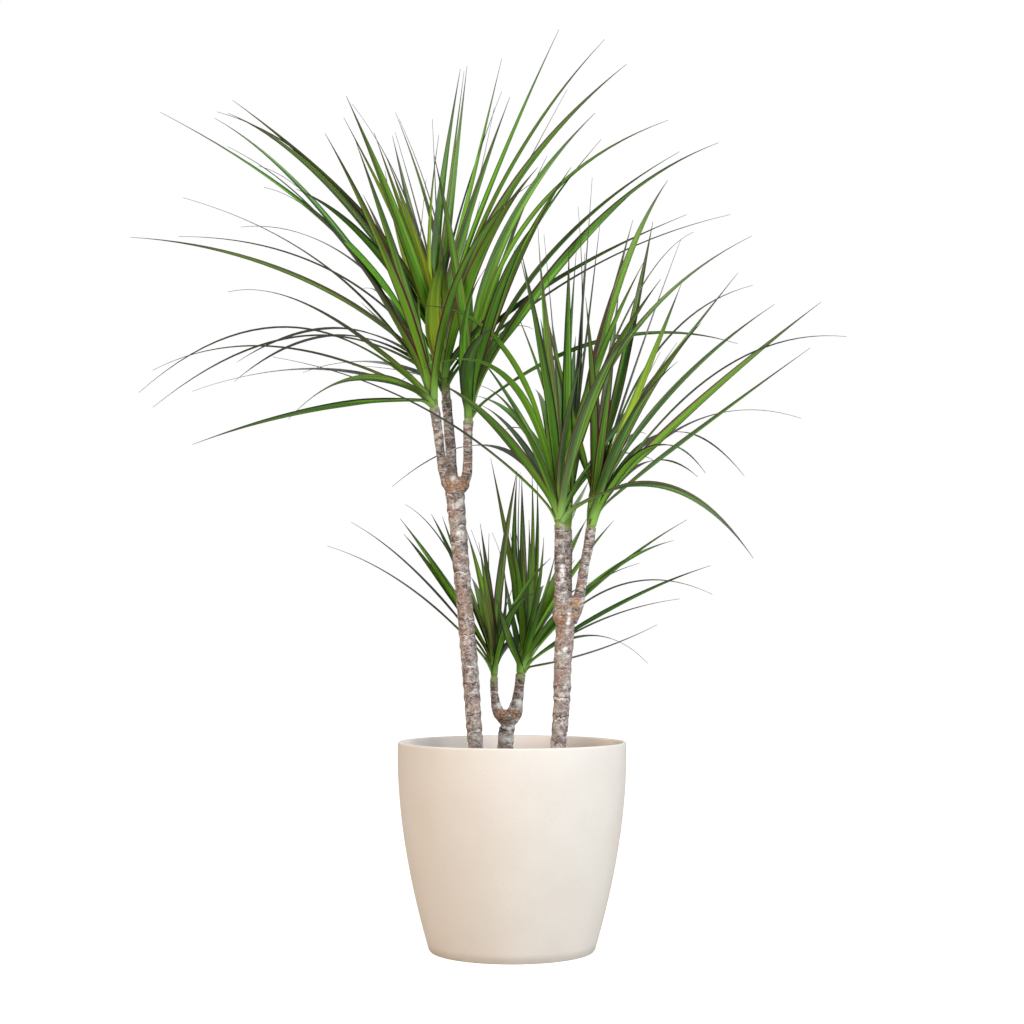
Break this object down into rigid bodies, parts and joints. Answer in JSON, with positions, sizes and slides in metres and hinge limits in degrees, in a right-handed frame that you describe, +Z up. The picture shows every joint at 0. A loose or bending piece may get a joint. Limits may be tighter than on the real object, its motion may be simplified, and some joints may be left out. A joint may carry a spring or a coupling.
{
  "type": "potted dracaena",
  "caption": "Branching dracaena: bare ringed canes topped by heads of long narrow arching leaves, standing in soil in a round tapering cream pot.",
  "frame": {"origin": "centre of the pot's flat underside, on the surface that it stands on", "axes": "+Z up along the pot's axis, front of the plant towards -Y, the tall cane towards -X"},
  "size_m": [0.9552, 0.742, 1.2326],
  "materials": {
    "pot": "matte cream with a very fine fleck",
    "soil": "crumbly dark potting soil",
    "cane": "dry grey-brown bark with ring and cross leaf scars",
    "leaf": "satin green blades with purple-brown margins"
  },
  "bodies": {
    "root": {"pot": "pot", "soil": "soil", "caneTall": "cane", "caneRight": "cane", "caneShort": "cane", "headTallLeft": "leaf", "headTallBack": "leaf", "headTallRight": "leaf", "headRightFront": "leaf", "headRightBack": "leaf", "headRightSide": "leaf", "headShortLeft": "leaf", "headShortRight": "leaf"}
  },
  "joints": []
}
